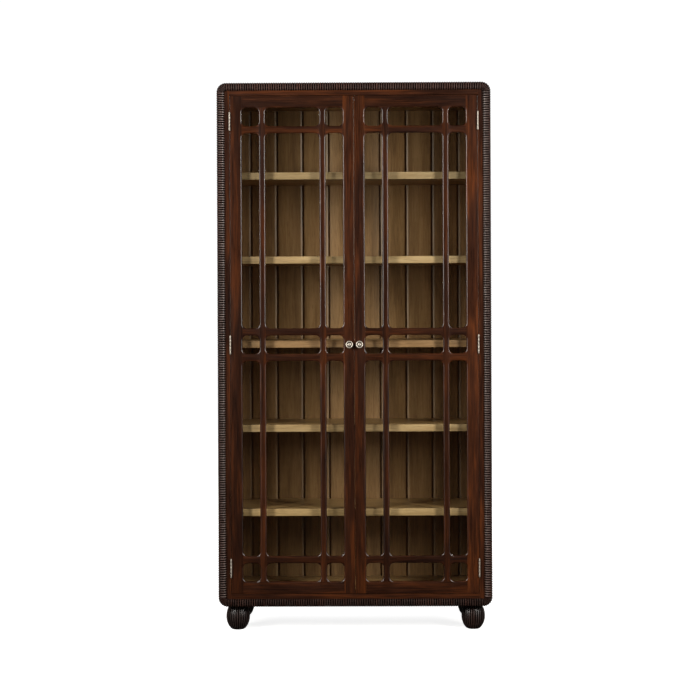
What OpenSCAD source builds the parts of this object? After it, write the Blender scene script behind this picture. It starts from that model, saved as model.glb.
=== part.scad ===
// China cabinet: a tall glazed cabinet on four turned feet.
//
// Two doors with fretted glazing bars hang on butt hinges in a face frame.  A half-round
// moulding with round corners runs all the way round the front.  Behind the doors are five
// shelves on support pins and a back of bevelled vertical boards.
// Millimetres, +Z up, front towards -Y.  The origin is on the floor, under the middle.

/* [Body] */
// Width over the moulding
body_w = 1050; // [990:10:1150]
// Height of the body above its feet
body_h = 2008; // [1960:4:2100]
// Depth from the face frame's front to the back
body_d = 400; // [340:10:460]
// Outer radius of the moulding's corners
corner_r = 36; // [32:1:40]
// Thickness of the side, top and bottom panels
panel_t = 20; // [16:1:22]
// How far the panels are set back from the moulding's outer edge
panel_set = 2; // [1:0.5:3]

/* [Moulding and face frame] */
// Width of the half-round moulding
bead_w = 30; // [26:1:30]
// How far the moulding stands in front of the face frame
bead_proud = 12; // [9:1:13]
// How far the moulding is let in behind the face frame's front
bead_in = 5; // [4:1:6]
// Distance from the outside of the moulding to the door opening
opening_set = 49; // [45:1:52]
// Thickness of the face frame
frame_t = 22; // [20:1:24]

/* [Feet] */
// Height of the body above the floor
foot_h = 94; // [84:2:106]
// Largest radius of a foot
foot_r = 45.5; // [38:0.5:46]
// Distance of a foot's centre from the side
foot_side = 71; // [62:1:80]
// Distance of a foot's centre from the front of the face frame
foot_front = 60; // [52:1:64]
// Radius of the tenon on top of a foot
foot_tenon_r = 14; // [10:1:16]

/* [Doors] */
// Gap round each door
door_gap = 1.5; // [1:0.25:2]
// Thickness of a door
door_t = 22; // [20:1:22]
// Width of the meeting stile, from the middle of the cabinet
meeting_w = 42; // [38:1:46]
// Width of the hinge stile
hinge_stile_w = 45; // [40:0.5:50]
// Height of a door's top and bottom rails
door_rail_h = 45; // [40:0.5:50]
// Width of the small glazed openings
small_w = 66; // [60:1:72]
// Height of the small glazed openings
small_h = 71; // [64:1:76]
// Width of the upright glazing bars
upright_w = 24; // [20:1:28]
// Height of the level glazing bars
level_h = 27; // [22:1:30]
// Depth of the glazing bars
bar_t = 12; // [10:1:12]
// Corner radius of the glazed openings
opening_r = 18; // [12:1:20]
// Thickness of the glass
glass_t = 4; // [3:1:4]
// Width of the rebate that holds the glass
rebate_w = 8; // [6:1:10]

/* [Hardware] */
// Height of a hinge
hinge_h = 70; // [60:5:80]
// Radius of a hinge's knuckles
knuckle_r = 2.7; // [2.6:0.1:4.4]
// Radius of a hinge's pin
pin_r = 1.25; // [1:0.125:1.5]
// Distance of the outer hinges from the ends of the body
hinge_end = 148; // [120:2:180]
// Radius of a knob
knob_r = 14.25; // [12:0.25:14.5]
// How far a knob stands in front of its door
knob_proud = 24; // [22:1:26]
// Distance of a knob from the middle of the cabinet
knob_x = 19.3; // [18:0.1:20]

/* [Inside] */
// Thickness of a shelf
shelf_t = 27.5; // [22:0.5:30]
// Distance from the middle of one shelf to the next
shelf_pitch = 324; // [300:2:326]
// Height of the middle shelf's own middle above the body's bottom
shelf_mid = 1005; // [1000:1:1010]
// Distance of the shelves' front edges from the face frame's front
shelf_front = 36; // [32:1:60]
// Thickness of the back boards
board_t = 14; // [10:1:16]
// Distance from one back board to the next
board_pitch = 104.7; // [95:0.1:110]
// Width of the bevel along a back board's edge
board_bevel = 6; // [3:0.5:7]
// Thickness of the floor and the ceiling behind the doors
deck_t = 20; // [16:1:22]
// How far the ceiling's underside is below the doors' top edges, which it stops
ceiling_lap = 17; // [8:1:18]
// How far the floor's top is above the doors' bottom edges, which it stops
floor_lap = 7; // [6:1:12]

/* [Hidden] */
$fn = 64;

// Running clearance of a pin in its bore, and the slack left round a let-in piece
fit = 0.05;

// The front of the face frame and the back, so that the knobs and the back are
// equally far from the origin
front_y = -(body_d - knob_proud) / 2;
back_y = front_y + body_d;
half_w = body_w / 2;
top_z = foot_h + body_h;
middle_z = foot_h + body_h / 2;

// Places of the front and back feet
foot_ys = [front_y + foot_front, back_y - foot_front];

// Moulding: its round part's radius, and that part's middle line from the outer edge
bead_r = bead_w / 2;
bead_mid_y = front_y - bead_proud + bead_r;

// Carcass
inside_x = half_w - panel_set - panel_t;
inside_low = foot_h + panel_set + panel_t;
inside_high = top_z - panel_set - panel_t;
carcass_front = front_y + frame_t;
boards_front = back_y - board_t;

// Doors, drawn for the left one: x runs from the hinge side up to the middle
door_low = foot_h + opening_set + door_gap;
door_high = top_z - opening_set - door_gap;
door_out = half_w - opening_set - door_gap;
glazed_out = door_out - hinge_stile_w;
glazed_low = door_low + door_rail_h;
glazed_high = door_high - door_rail_h;
wide_w = glazed_out - meeting_w - 2 * small_w - 2 * upright_w;
tall_h = (glazed_high - glazed_low - 3 * small_h - 4 * level_h) / 2;
tenon_l = 22;
tenon_t = 7;
tenon_in = 3.5;

// Each glazed column as [distance from the middle, width], each row as [height, size]
columns = [
    [meeting_w, small_w],
    [meeting_w + small_w + upright_w, wide_w],
    [glazed_out - small_w, small_w]
];
row_sizes = [small_h, tall_h, small_h, tall_h, small_h];
function row_low(i) = i == 0 ? glazed_low : row_low(i - 1) + row_sizes[i - 1] + level_h;

// Hinges: pin axis, and the middle of each hinge
pin_front = 5;
pin_x = door_out + door_gap / 2;
pin_y = front_y - pin_front;
leaf_t = 1.2;
leaf_d = 17;
knuckles = 5;
knuckle_gap = 0.3;
hinge_zs = [foot_h + hinge_end, middle_z, top_z - hinge_end];
screw_r = 1.8;
screw_head_r = 3.4;
screw_l = 16;
screw_pitch = 24;
screw_y = front_y + 10;
pin_head_t = 1.5;

// Knobs: the threaded stud that goes into the door
knob_stud_r = 2.5;
knob_stud_l = 16;

// Shelf support pins
peg_r = 2.5;
peg_in = 10;
peg_out = 8;
peg_set = 45;

// Door catches, let into the ceiling's front edge
catch_r = 4.5;
catch_l = 24;
catch_x = 60;

floor_top = door_low + floor_lap;
ceiling_low = door_high - ceiling_lap;
deck_front = front_y + door_t + 0.5;
bevel_depth = board_bevel * 0.8;
boards = 10;

mahogany = "#4a1d13";
dark_mahogany = "#35150e";
golden_wood = "#b08a55";
nickel = "#cdc3b2";
clear_glass = [0.82, 0.88, 0.88, 0.3];

// ---- Helpers ------------------------------------------------------------------------

// A box from one corner to the other
module block(low, high) {
    translate(low) cube(high - low);
}

// A rectangle with round corners, from one corner to the other
module round_rect(low, high, r) {
    size = high - low;
    translate([low.x, low.y + r]) square([size.x, size.y - 2 * r]);
    translate([low.x + r, low.y]) square([size.x - 2 * r, size.y]);
    for (x = [low.x + r, high.x - r], y = [low.y + r, high.y - r])
        translate([x, y]) circle(r);
}

// Stands an X-Z outline up and gives it a thickness from y1 back to y2
module stand(y1, y2) {
    translate([0, y2, 0]) rotate([90, 0, 0]) linear_extrude(y2 - y1) children();
}

// The body's outline seen from the front, drawn in by inset
module body_outline(inset) {
    round_rect(
        [-half_w + inset, foot_h + inset],
        [half_w - inset, top_z - inset],
        corner_r - inset
    );
}

// What is drawn for the left side, moved to the right side
module on_right() {
    mirror([1, 0, 0]) children();
}

// ---- Carcass ------------------------------------------------------------------------

// Side panel on the left, drilled for the shelf support pins
module side_panel() {
    color(mahogany) difference() {
        block(
            [-half_w + panel_set, carcass_front, foot_h + corner_r],
            [-inside_x, back_y, top_z - corner_r]
        );
        shelf_peg_places(peg_r + fit, peg_in + fit, 1);
    }
}

// One end of the carcass, top or bottom, with the round corners worked on it and a square
// recess behind for the back boards
module end_panel(low, high) {
    inner_r = max(corner_r - panel_set - panel_t, 1);
    color(mahogany) difference() {
        stand(carcass_front, back_y) intersection() {
            difference() {
                body_outline(panel_set);
                round_rect([-inside_x, inside_low], [inside_x, inside_high], inner_r);
            }
            translate([-half_w, low]) square([body_w, high - low]);
        }
        block([-inside_x, boards_front, inside_low], [inside_x, back_y + 1, inside_high]);
    }
}

module top_panel() {
    end_panel(top_z - corner_r, top_z);
}

module bottom_panel() {
    color(mahogany) difference() {
        end_panel(foot_h, foot_h + corner_r);
        for (x = [-1, 1], y = foot_ys)
            translate([x * (half_w - foot_side), y, foot_h])
                cylinder(h = panel_set + panel_t - 4 + fit, r = foot_tenon_r + fit);
    }
}

// Ceiling and floor of the space behind the doors; their front edges stop the doors
module deck(low) {
    block([-inside_x, deck_front, low], [inside_x, boards_front, low + deck_t]);
}

module ceiling_panel() {
    color(golden_wood) difference() {
        deck(ceiling_low);
        for (side = [-1, 1]) catch_body(side, fit);
    }
}

module floor_panel() {
    color(golden_wood) deck(floor_top - deck_t);
}

// One back board, counted from the left, bevelled where it meets the next
module back_board(i) {
    left = i == 1 ? -inside_x : (i - 1 - boards / 2) * board_pitch;
    right = i == boards ? inside_x : (i - boards / 2) * board_pitch;
    bevel_l = i == 1 ? 0 : board_bevel;
    bevel_r = i == boards ? 0 : board_bevel;
    color(golden_wood) translate([0, 0, inside_low]) linear_extrude(inside_high - inside_low)
        polygon([
            [left, back_y],
            [right, back_y],
            [right, boards_front + (bevel_r > 0 ? bevel_depth : 0)],
            [right - bevel_r, boards_front],
            [left + bevel_l, boards_front],
            [left, boards_front + (bevel_l > 0 ? bevel_depth : 0)]
        ]);
}

// Underside of a shelf, counted from the bottom
function shelf_low(i) = foot_h + shelf_mid + (i - 3) * shelf_pitch - shelf_t / 2;

module shelf(i) {
    slack = 0.5;
    color(golden_wood) block(
        [-inside_x + slack, front_y + shelf_front, shelf_low(i)],
        [inside_x - slack, boards_front - slack, shelf_low(i) + shelf_t]
    );
}

// Two pegs under each shelf on the left side: radius r, depth into the panel, reach out
module shelf_peg_places(r, depth, reach) {
    for (i = [1:5], y = [front_y + shelf_front + peg_set, boards_front - peg_set])
        translate([-inside_x - depth, y, shelf_low(i) - peg_r])
            rotate([0, 90, 0]) cylinder(h = depth + reach, r = r, $fn = 24);
}

module shelf_support_pins() {
    color(nickel) {
        shelf_peg_places(peg_r, peg_in, peg_out);
        on_right() shelf_peg_places(peg_r, peg_in, peg_out);
    }
}

// ---- Moulding and face frame --------------------------------------------------------

// Section of the moulding: a round let into the frame, flat behind
module bead_section() {
    intersection() {
        circle(bead_r);
        translate([-bead_r, -bead_r])
            square([bead_w, bead_proud + bead_in]);
    }
}

// The moulding on the left, between the corners
module side_moulding() {
    color(dark_mahogany)
        translate([-half_w + bead_r, bead_mid_y, foot_h + corner_r])
            linear_extrude(body_h - 2 * corner_r) bead_section();
}

// The moulding along the top, with its two round corners
module top_moulding() {
    color(dark_mahogany) {
        translate([-half_w + corner_r, bead_mid_y, top_z - bead_r])
            rotate([0, 90, 0]) linear_extrude(body_w - 2 * corner_r) bead_section();
        top_moulding_corner();
        on_right() top_moulding_corner();
    }
}

module top_moulding_corner() {
    translate([-half_w + corner_r, bead_mid_y, top_z - corner_r])
        rotate([-90, 0, 0]) rotate([0, 0, 180]) rotate_extrude(angle = 90)
            translate([corner_r - bead_r, 0]) bead_section();
}

module bottom_moulding() {
    translate([0, 0, 2 * middle_z]) mirror([0, 0, 1]) top_moulding();
}

// The whole face frame: thick round the opening, thinner where the moulding covers it
module face_frame() {
    difference() {
        union() {
            stand(front_y, front_y + frame_t) body_outline(bead_w);
            stand(front_y + bead_in, front_y + frame_t) body_outline(panel_set);
        }
        block(
            [-half_w + opening_set, front_y - 1, foot_h + opening_set],
            [half_w - opening_set, carcass_front + 1, top_z - opening_set]
        );
    }
}

module face_frame_stile() {
    color(mahogany) difference() {
        intersection() {
            face_frame();
            block(
                [-half_w, front_y - 1, foot_h],
                [-half_w + opening_set, carcass_front + 1, top_z]
            );
        }
        for (z = hinge_zs) {
            frame_leaf_plate(z, fit);
            frame_screws(z, fit);
        }
    }
}

module face_frame_rail(low, high) {
    color(mahogany) intersection() {
        face_frame();
        block(
            [-half_w + opening_set, front_y - 1, low],
            [half_w - opening_set, carcass_front + 1, high]
        );
    }
}

// ---- Feet ---------------------------------------------------------------------------

// A turned foot: two quarter ellipses that meet at the widest place, and a tenon on top
module foot(side, y) {
    wide_z = 0.52 * foot_h;
    upper = 0.68 * foot_h;
    lower = 0.613 * foot_h;
    low_angle = asin(wide_z / lower);
    high_angle = asin((foot_h + panel_set - wide_z) / upper);
    steps = 12;
    outline = concat(
        [[0, 0]],
        [for (i = [0:steps]) let (a = -low_angle * (1 - i / steps))
            [foot_r * cos(a), wide_z + lower * sin(a)]],
        [for (i = [1:steps]) let (a = high_angle * i / steps)
            [foot_r * cos(a), wide_z + upper * sin(a)]],
        [[0, foot_h + panel_set]]
    );
    color(dark_mahogany) translate([side * (half_w - foot_side), y, 0]) {
        rotate_extrude() polygon(outline);
        translate([0, 0, foot_h]) cylinder(h = panel_set + panel_t - 4, r = foot_tenon_r);
    }
}

// ---- Hinges -------------------------------------------------------------------------

// Plate of the leaf let into the face frame on the left, with slack at the hidden sides
module frame_leaf_plate(z, slack) {
    x = -pin_x - door_gap / 2;
    block(
        [x - leaf_t - slack, front_y - slack, z - hinge_h / 2 - slack],
        [x + slack, front_y + leaf_d + slack, z + hinge_h / 2 + slack]
    );
}

// The leaf in the door's edge is the frame leaf's mirror image about the pin
module about_pin() {
    translate([-2 * pin_x, 0, 0]) mirror([1, 0, 0]) children();
}

// Countersunk screws of one frame leaf; their heads are flush with the leaf
module frame_screws(z, slack) {
    x = -pin_x - door_gap / 2;
    for (dz = [-screw_pitch, 0, screw_pitch])
        translate([x, screw_y, z + dz]) rotate([0, -90, 0]) {
            cylinder(h = leaf_t, r1 = screw_head_r + slack, r2 = screw_r + slack, $fn = 24);
            cylinder(h = screw_l + slack, r = screw_r + slack, $fn = 24);
        }
}

// One frame leaf with the knuckles whose number has the given remainder by two
module leaf(z, odd) {
    x = -pin_x - door_gap / 2;
    step = hinge_h / knuckles;
    difference() {
        union() {
            frame_leaf_plate(z, 0);
            for (i = [0:knuckles - 1]) if (i % 2 == odd) {
                low = z - hinge_h / 2 + i * step + (i == 0 ? 0 : knuckle_gap / 2);
                high = z - hinge_h / 2 + (i + 1) * step
                    - (i == knuckles - 1 ? 0 : knuckle_gap / 2);
                translate([-pin_x, pin_y, low]) cylinder(h = high - low, r = knuckle_r);
                block([x - leaf_t, pin_y, low], [x, front_y + 1, high]);
            }
        }
        translate([-pin_x, pin_y, z - hinge_h]) cylinder(h = 2 * hinge_h, r = pin_r + fit);
        frame_screws(z, fit);
    }
}

module frame_hinge_leaves() {
    color(nickel) for (z = hinge_zs) {
        leaf(z, 0);
        on_right() leaf(z, 0);
    }
}

module frame_hinge_screws() {
    color(nickel) for (z = hinge_zs) {
        frame_screws(z, 0);
        on_right() frame_screws(z, 0);
    }
}

module hinge_pin(z) {
    translate([-pin_x, pin_y, z - hinge_h / 2]) {
        cylinder(h = hinge_h, r = pin_r);
        translate([0, 0, -pin_head_t]) cylinder(h = pin_head_t, r = knuckle_r - 1);
        translate([0, 0, hinge_h]) cylinder(h = pin_head_t, r = knuckle_r - 1);
    }
}

module hinge_pins() {
    color(nickel) for (z = hinge_zs) {
        hinge_pin(z);
        on_right() hinge_pin(z);
    }
}

// A sprung catch with a round nose, let into the ceiling's front edge
module catch_body(side, slack) {
    translate([side * catch_x, deck_front + catch_l + slack, ceiling_low + deck_t / 2])
        rotate([90, 0, 0]) cylinder(h = catch_l + slack, r = catch_r + slack, $fn = 32);
}

module door_catches() {
    color(nickel) for (side = [-1, 1]) catch_body(side, 0);
}

// ---- Doors, drawn for the left one --------------------------------------------------

// Everything that is cut through the door's front: the glazed openings
module glazed_openings() {
    for (c = columns, r = [0:4])
        stand(front_y - 1, front_y + bar_t + 1) round_rect(
            [-c[0] - c[1], row_low(r)],
            [-c[0], row_low(r) + row_sizes[r]],
            opening_r
        );
}

// The rebate behind the bars, for the glass and its beads
module glass_rebate() {
    block(
        [-glazed_out - rebate_w, front_y + bar_t, glazed_low - rebate_w],
        [-meeting_w + rebate_w, front_y + door_t + 1, glazed_high + rebate_w]
    );
}

// Tenons at the ends of a rail, which runs from low to high
module rail_tenons(low, high, slack) {
    for (x = [-glazed_out, -meeting_w])
        block(
            [x - tenon_l - slack, front_y + tenon_in - slack, low + 6 - slack],
            [x + tenon_l + slack, front_y + tenon_in + tenon_t + slack, high - 6 + slack]
        );
}

module all_rail_tenons(slack) {
    rail_tenons(door_low, glazed_low, slack);
    rail_tenons(glazed_high, door_high, slack);
}

module door_hinge_stile() {
    color(mahogany) difference() {
        block([-door_out, front_y, door_low], [-glazed_out, front_y + door_t, door_high]);
        glass_rebate();
        all_rail_tenons(fit);
        about_pin() for (z = hinge_zs) {
            frame_leaf_plate(z, fit);
            frame_screws(z, fit);
        }
    }
}

module door_meeting_stile() {
    color(mahogany) difference() {
        block(
            [-meeting_w, front_y, door_low],
            [-door_gap / 2, front_y + door_t, door_high]
        );
        glass_rebate();
        all_rail_tenons(fit);
        knob_place() cylinder(h = knob_stud_l + fit, r = knob_stud_r + fit, $fn = 24);
    }
}

// A rail from low to high; reach tells which way its rounded ends go, up or down
module door_rail(low, high, reach) {
    flare = opening_r + 1;
    color(mahogany) difference() {
        union() {
            block(
                [-glazed_out, front_y, low],
                [-meeting_w, front_y + door_t, high]
            );
            for (c = columns)
                block(
                    [-c[0] - c[1], front_y, low - (reach < 0 ? flare : 0)],
                    [-c[0], front_y + bar_t, high + (reach > 0 ? flare : 0)]
                );
            intersection() {
                rail_tenons(low, high, 0);
                block(
                    [-door_out, front_y, low], [-door_gap / 2, front_y + door_t, high]
                );
            }
        }
        glazed_openings();
        glass_rebate();
    }
}

module door_bottom_rail() {
    door_rail(door_low, glazed_low, 1);
}

module door_top_rail() {
    door_rail(glazed_high, door_high, -1);
}

// Two upright bars between the rails
module door_upright_bars() {
    color(mahogany) for (x = [columns[0][0] + small_w, columns[1][0] + wide_w])
        block([-x - upright_w, front_y, glazed_low], [-x, front_y + bar_t, glazed_high]);
}

// Level bars between the uprights, in four rows, with their ends spread to round the glass
module door_level_bars() {
    flare = opening_r + 1;
    color(mahogany) difference() {
        for (c = columns, r = [1:4])
            block(
                [-c[0] - c[1], front_y, row_low(r) - level_h - flare],
                [-c[0], front_y + bar_t, row_low(r) + flare]
            );
        glazed_openings();
    }
}

module door_glass() {
    edge = rebate_w - 1;
    color(clear_glass) block(
        [-glazed_out - edge, front_y + bar_t, glazed_low - edge],
        [-meeting_w + edge, front_y + bar_t + glass_t, glazed_high + edge]
    );
}

// Four strips in the rebate that hold the glass from behind, a hair apart at their ends
module door_glazing_beads() {
    near = front_y + bar_t + glass_t;
    far = front_y + door_t;
    joint = 0.2;
    color(dark_mahogany) {
        for (x = [-glazed_out - rebate_w, -meeting_w])
            block(
                [x, near, glazed_low - rebate_w],
                [x + rebate_w, far, glazed_high + rebate_w]
            );
        for (z = [glazed_low - rebate_w, glazed_high])
            block(
                [-glazed_out + joint, near, z], [-meeting_w - joint, far, z + rebate_w]
            );
    }
}

// Puts a shape at the knob's place on the door's front, its +Z into the door
module knob_place() {
    translate([-knob_x, front_y, middle_z]) rotate([-90, 0, 0]) children();
}

// A turned knob with a dished face, a raised rim and a button in the middle
module door_knob() {
    p = -knob_proud;
    rim = knob_r * 0.82;
    color(nickel) knob_place() {
        rotate_extrude() polygon(concat(
            [[0, 0], [knob_r * 0.62, 0], [knob_r * 0.62, p * 0.06], [knob_r * 0.5, p * 0.12]],
            [for (i = [0:6]) let (a = i * 15)
                [knob_r * (0.5 - 0.14 * sin(2 * a)), p * (0.12 + 0.4 * i / 6)]],
            [for (i = [0:8]) let (a = -90 + i * 22.5)
                [rim + (knob_r - rim) * cos(a), p * (0.71 + 0.19 * sin(a))]],
            [
                [rim * 0.88, p * 0.86],
                [rim * 0.5, p * 0.84],
                [rim * 0.48, p * 0.94],
                [rim * 0.3, p * 0.99],
                [0, p]
            ]
        ));
        cylinder(h = knob_stud_l, r = knob_stud_r, $fn = 24);
    }
}

module door_hinge_leaves() {
    color(nickel) about_pin() for (z = hinge_zs) leaf(z, 1);
}

module door_hinge_screws() {
    color(nickel) about_pin() for (z = hinge_zs) frame_screws(z, 0);
}

// ---- Nodes --------------------------------------------------------------------------

side_panel();  // left_side_panel
on_right() side_panel();  // right_side_panel
top_panel();
bottom_panel();
ceiling_panel();
floor_panel();
top_moulding();  // reeded_moulding_top
bottom_moulding();  // reeded_moulding_bottom
side_moulding();  // reeded_moulding_left
on_right() side_moulding();  // reeded_moulding_right
face_frame_stile();  // face_frame_left_stile
on_right() face_frame_stile();  // face_frame_right_stile
face_frame_rail(top_z - opening_set, top_z);  // face_frame_top_rail
face_frame_rail(foot_h, foot_h + opening_set);  // face_frame_bottom_rail
for (i = [1:boards]) back_board(i);
for (i = [1:5]) shelf(i);
shelf_support_pins();
foot(-1, foot_ys[0]);  // foot_front_left
foot(1, foot_ys[0]);  // foot_front_right
foot(-1, foot_ys[1]);  // foot_back_left
foot(1, foot_ys[1]);  // foot_back_right
frame_hinge_leaves();
frame_hinge_screws();
hinge_pins();
door_catches();
door_hinge_stile();  // left_door_hinge_stile
door_meeting_stile();  // left_door_meeting_stile
door_top_rail();  // left_door_top_rail
door_bottom_rail();  // left_door_bottom_rail
door_upright_bars();  // left_door_upright_bars
door_level_bars();  // left_door_level_bars
door_glass();  // left_door_glass
door_glazing_beads();  // left_door_glazing_beads
door_knob();  // left_door_knob
door_hinge_leaves();  // left_door_hinge_leaves
door_hinge_screws();  // left_door_hinge_screws
on_right() door_hinge_stile();  // right_door_hinge_stile
on_right() door_meeting_stile();  // right_door_meeting_stile
on_right() door_top_rail();  // right_door_top_rail
on_right() door_bottom_rail();  // right_door_bottom_rail
on_right() door_upright_bars();  // right_door_upright_bars
on_right() door_level_bars();  // right_door_level_bars
on_right() door_glass();  // right_door_glass
on_right() door_glazing_beads();  // right_door_glazing_beads
on_right() door_knob();  // right_door_knob
on_right() door_hinge_leaves();  // right_door_hinge_leaves
on_right() door_hinge_screws();  // right_door_hinge_screws
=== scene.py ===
"""A china cabinet with two fretted glass doors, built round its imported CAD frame.

Metres, in the CAD model's own frame: +Z up, the doors face -Y, the origin is on the floor
under the middle.  Places come from the CAD nodes' boxes.
"""
import math

import bmesh
import bpy
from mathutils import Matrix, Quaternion, Vector


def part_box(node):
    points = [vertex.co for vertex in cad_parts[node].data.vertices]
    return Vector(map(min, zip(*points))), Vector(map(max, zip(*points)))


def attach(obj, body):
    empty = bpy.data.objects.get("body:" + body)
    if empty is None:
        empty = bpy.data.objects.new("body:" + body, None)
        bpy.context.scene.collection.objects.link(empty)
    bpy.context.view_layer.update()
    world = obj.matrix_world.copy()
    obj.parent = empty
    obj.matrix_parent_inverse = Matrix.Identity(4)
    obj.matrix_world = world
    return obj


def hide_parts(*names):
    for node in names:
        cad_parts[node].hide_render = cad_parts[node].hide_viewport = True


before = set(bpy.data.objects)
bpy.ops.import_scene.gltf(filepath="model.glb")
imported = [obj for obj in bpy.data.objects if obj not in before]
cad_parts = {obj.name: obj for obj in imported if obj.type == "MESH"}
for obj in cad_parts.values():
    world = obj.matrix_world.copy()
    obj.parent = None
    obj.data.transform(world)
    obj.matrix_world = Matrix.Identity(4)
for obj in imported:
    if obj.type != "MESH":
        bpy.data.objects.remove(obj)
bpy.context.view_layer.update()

MM = 0.001
PI = math.pi

# ---- Places read from the CAD nodes --------

MOULDING_LOW, MOULDING_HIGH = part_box("reeded_moulding_left")
FRAME_LOW, FRAME_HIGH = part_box("face_frame_top_rail")
STILE_LOW, STILE_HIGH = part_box("left_door_hinge_stile")
MEETING_LOW, MEETING_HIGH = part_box("left_door_meeting_stile")
BARS_LOW, BARS_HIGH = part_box("left_door_upright_bars")
KNOB_LOW, KNOB_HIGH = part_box("left_door_knob")

HALF_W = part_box("reeded_moulding_top")[1].x
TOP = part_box("reeded_moulding_top")[1].z
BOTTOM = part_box("reeded_moulding_bottom")[0].z
CORNER_R = TOP - MOULDING_HIGH.z
FACE_Y = FRAME_LOW.y
BEAD_R = (MOULDING_HIGH.x - MOULDING_LOW.x) / 2
BEAD_Y = MOULDING_LOW.y + BEAD_R
OPENING_X = FRAME_HIGH.x
OPENING_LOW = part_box("face_frame_bottom_rail")[1].z
OPENING_HIGH = FRAME_LOW.z
DOOR_BACK = STILE_HIGH.y
GLASS_Y = BARS_HIGH.y
MIDDLE_Z = (TOP + BOTTOM) / 2

# ---- The doors' layout, as in the CAD model --------

SMALL_W = 66 * MM
SMALL_H = 71 * MM
UPRIGHT_W = 24 * MM
LEVEL_H = 27 * MM
OPENING_R = 18 * MM
# The openings' bevelled edge, as (depth behind the face, distance outside the opening)
BEVEL_PROFILE = [(d * MM, o * MM) for d, o in (
    (-1.0, 5.2), (0.0, 4.5), (0.1, 4.0), (0.4, 3.2),
    (1.5, 1.2), (2.1, 0.65), (2.9, 0.2), (4.0, 0.0))]
BEVEL = 5 * MM
DOOR_EASE = 0.7 * MM
REBATE = 8 * MM

GLAZED_OUT = -STILE_HIGH.x
MEETING_W = -MEETING_LOW.x
WIDE_W = GLAZED_OUT - MEETING_W - 2 * SMALL_W - 2 * UPRIGHT_W
TALL_H = (BARS_HIGH.z - BARS_LOW.z - 3 * SMALL_H - 4 * LEVEL_H) / 2
# The glazed openings' columns, as (distance from the middle, width), and rows, as (low, height)
COLUMNS = [
    (MEETING_W, SMALL_W),
    (MEETING_W + SMALL_W + UPRIGHT_W, WIDE_W),
    (GLAZED_OUT - SMALL_W, SMALL_W),
]
ROWS = []
row_low = BARS_LOW.z
for row_h in (SMALL_H, TALL_H, SMALL_H, TALL_H, SMALL_H):
    ROWS.append((row_low, row_h))
    row_low += row_h + LEVEL_H

# The hairline left between two pieces that meet in a joint
HAIR = 0.15 * MM


# ---- Mesh helpers --------


def shade(mesh, sharp_degrees):
    """Smooth shading, with the edges sharper than an angle left sharp."""
    bm = bmesh.new()
    bm.from_mesh(mesh)
    bmesh.ops.recalc_face_normals(bm, faces=bm.faces)
    limit = math.radians(sharp_degrees)
    for face in bm.faces:
        face.smooth = True
    for edge in bm.edges:
        edge.smooth = len(edge.link_faces) == 2 and edge.calc_face_angle(0) < limit
    bm.to_mesh(mesh)
    bm.free()


def new_object(name, verts, faces, sharp_degrees=35):
    mesh = bpy.data.meshes.new(name)
    mesh.from_pydata([tuple(v) for v in verts], [], faces)
    mesh.update()
    shade(mesh, sharp_degrees)
    piece = bpy.data.objects.new(name, mesh)
    bpy.context.scene.collection.objects.link(piece)
    return piece


def loft(loops, closed_ends=True):
    """Vertices and faces of a skin over closed loops that have the same number of points."""
    count = len(loops[0])
    verts = [p for loop in loops for p in loop]
    faces = []
    for i in range(len(loops) - 1):
        for j in range(count):
            k = (j + 1) % count
            a, b = i * count, (i + 1) * count
            faces.append((a + j, a + k, b + k, b + j))
    if closed_ends:
        faces.append(tuple(reversed(range(count))))
        faces.append(tuple(range((len(loops) - 1) * count, len(loops) * count)))
    return verts, faces


def merge(*shapes):
    """Several (vertices, faces) as one."""
    verts, faces = [], []
    for shape_verts, shape_faces in shapes:
        start = len(verts)
        verts += shape_verts
        faces += [tuple(i + start for i in face) for face in shape_faces]
    return verts, faces


def box_shape(low, high):
    loops = [
        [(low[0], low[1], z), (high[0], low[1], z), (high[0], high[1], z), (low[0], high[1], z)]
        for z in (low[2], high[2])
    ]
    return loft(loops)


def round_rect(low_x, high_x, low_z, high_z, radius, steps=10):
    """A rectangle with round corners in the X-Z plane, as (x, z) points."""
    centres = [
        (high_x - radius, high_z - radius, 0),
        (low_x + radius, high_z - radius, 1),
        (low_x + radius, low_z + radius, 2),
        (high_x - radius, low_z + radius, 3),
    ]
    points = []
    for x, z, quarter in centres:
        for i in range(steps + 1):
            a = (quarter + i / steps) * PI / 2
            points.append((x + radius * math.cos(a), z + radius * math.sin(a)))
    return points


def eased_box(low, high, ease, steps=3):
    """A box whose twelve edges are rounded by ease."""
    verts, faces = box_shape(low, high)
    mesh = bpy.data.meshes.new("eased")
    mesh.from_pydata(verts, [], faces)
    bm = bmesh.new()
    bm.from_mesh(mesh)
    bmesh.ops.recalc_face_normals(bm, faces=bm.faces)
    bmesh.ops.bevel(
        bm, geom=bm.edges[:], offset=ease, segments=steps, profile=0.5, affect="EDGES")
    verts = [tuple(v.co) for v in bm.verts]
    faces = [tuple(v.index for v in face.verts) for face in bm.faces]
    bm.free()
    bpy.data.meshes.remove(mesh)
    return verts, faces


def lathe(profile, segments=48):
    """Turns (radius, height) points about the Z axis; the ends are closed with flat faces."""
    turns = [2 * PI * j / segments for j in range(segments)]
    return loft([[(r * math.cos(a), r * math.sin(a), z) for a in turns] for r, z in profile])


def moved(shape, place, turn=None):
    """A shape turned by a quaternion and then moved."""
    verts, faces = shape
    turn = turn or Quaternion()
    return [tuple(turn @ Vector(v) + Vector(place)) for v in verts], faces


def mirrored(shape):
    """A shape mirrored in the X = 0 plane."""
    verts, faces = shape
    return [(-x, y, z) for x, y, z in verts], [tuple(reversed(face)) for face in faces]


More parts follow.
